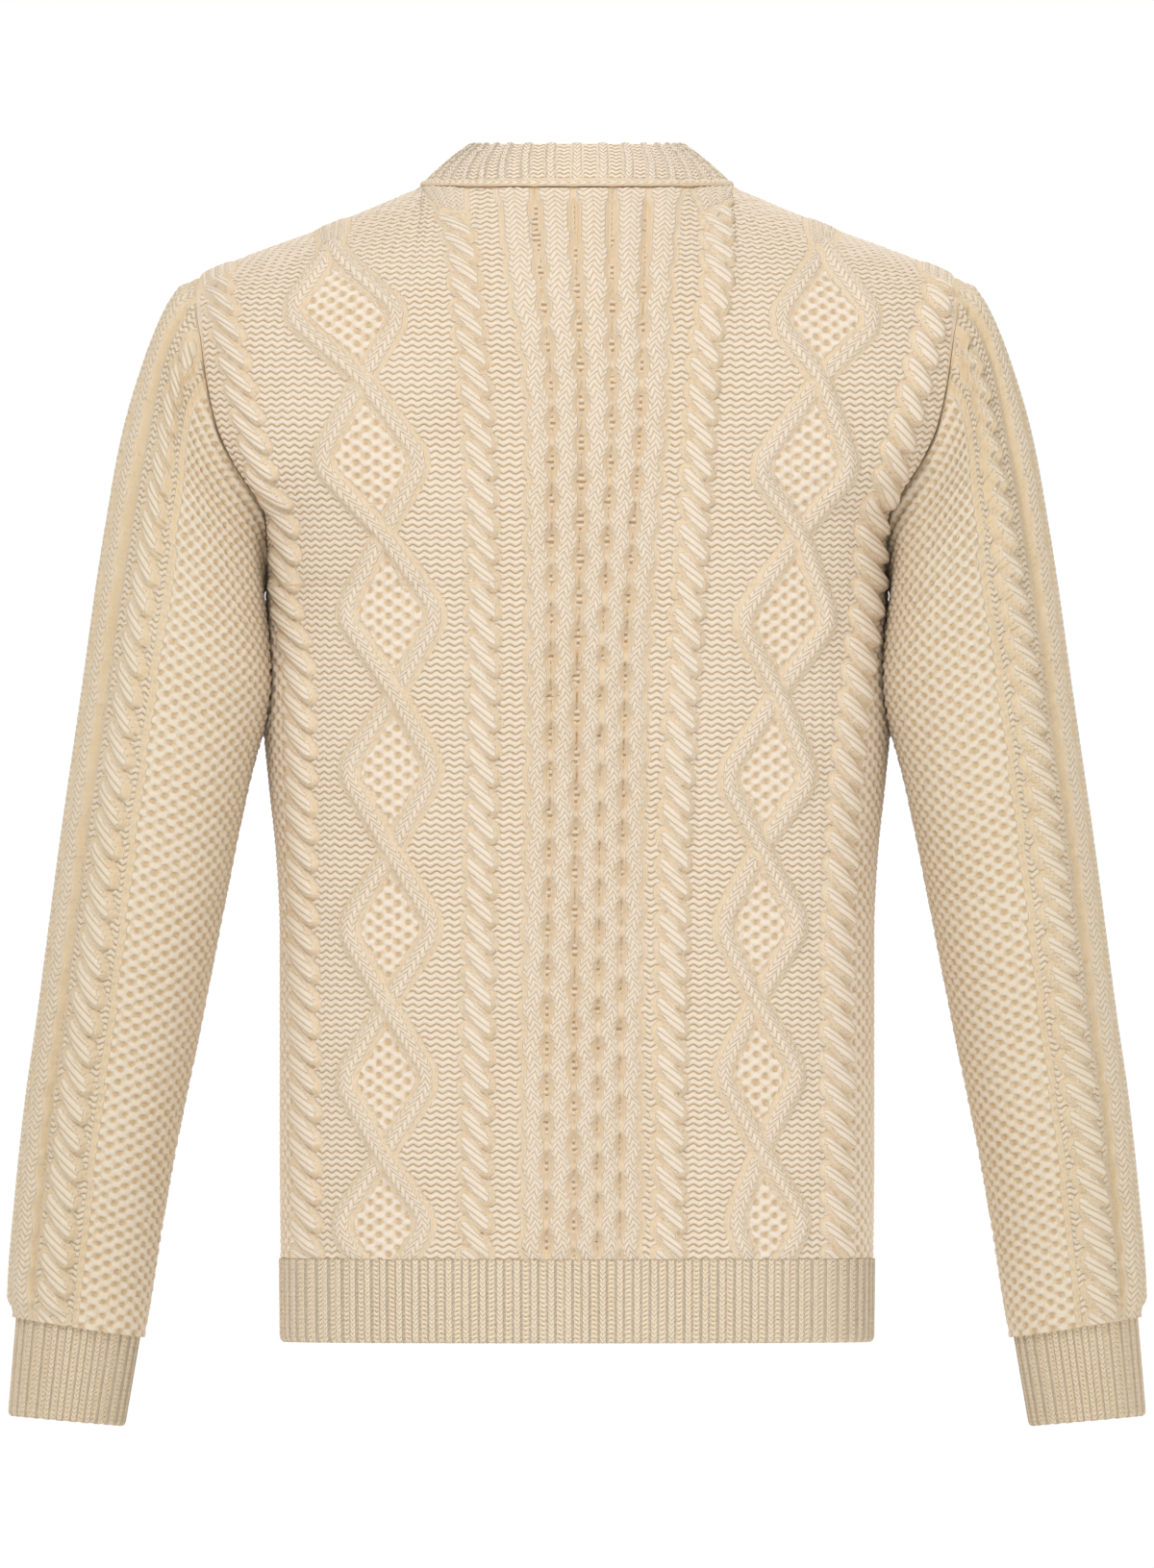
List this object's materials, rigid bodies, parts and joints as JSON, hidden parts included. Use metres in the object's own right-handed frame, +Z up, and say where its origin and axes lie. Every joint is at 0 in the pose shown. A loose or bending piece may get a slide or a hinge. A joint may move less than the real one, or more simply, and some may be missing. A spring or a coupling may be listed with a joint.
{
  "type": "cable knit sweater",
  "caption": "Hollow long-sleeved cable knit sweater in its worn shape, with open neck, hem and cuffs, raised rope, wave and diamond cables, and ribbed edges.",
  "frame": {"origin": "the neck and shoulders of the wearer, who holds the sweater up: the middle of the neck opening, level with the back neck seam", "axes": "+Z up along the body, +Y towards the back, +X towards the wearer's left"},
  "size_m": [0.6524, 0.2492, 0.7357],
  "materials": {
    "back_panel": "matte undyed wool, cable knit",
    "front_panel": "matte undyed wool, cable knit",
    "sleeve_left": "matte undyed wool, cable knit",
    "sleeve_right": "matte undyed wool, cable knit",
    "neck_band": "matte undyed wool, ribbed knit",
    "hem_rib_back": "matte undyed wool, ribbed knit",
    "hem_rib_front": "matte undyed wool, ribbed knit",
    "cuff_left": "matte undyed wool, ribbed knit",
    "cuff_right": "matte undyed wool, ribbed knit"
  },
  "bodies": {
    "root": {"back_panel": "back_panel", "front_panel": "front_panel", "sleeve_left": "sleeve_left", "sleeve_right": "sleeve_right", "neck_band": "neck_band", "hem_rib_back": "hem_rib_back", "hem_rib_front": "hem_rib_front", "cuff_left": "cuff_left", "cuff_right": "cuff_right"}
  },
  "joints": []
}
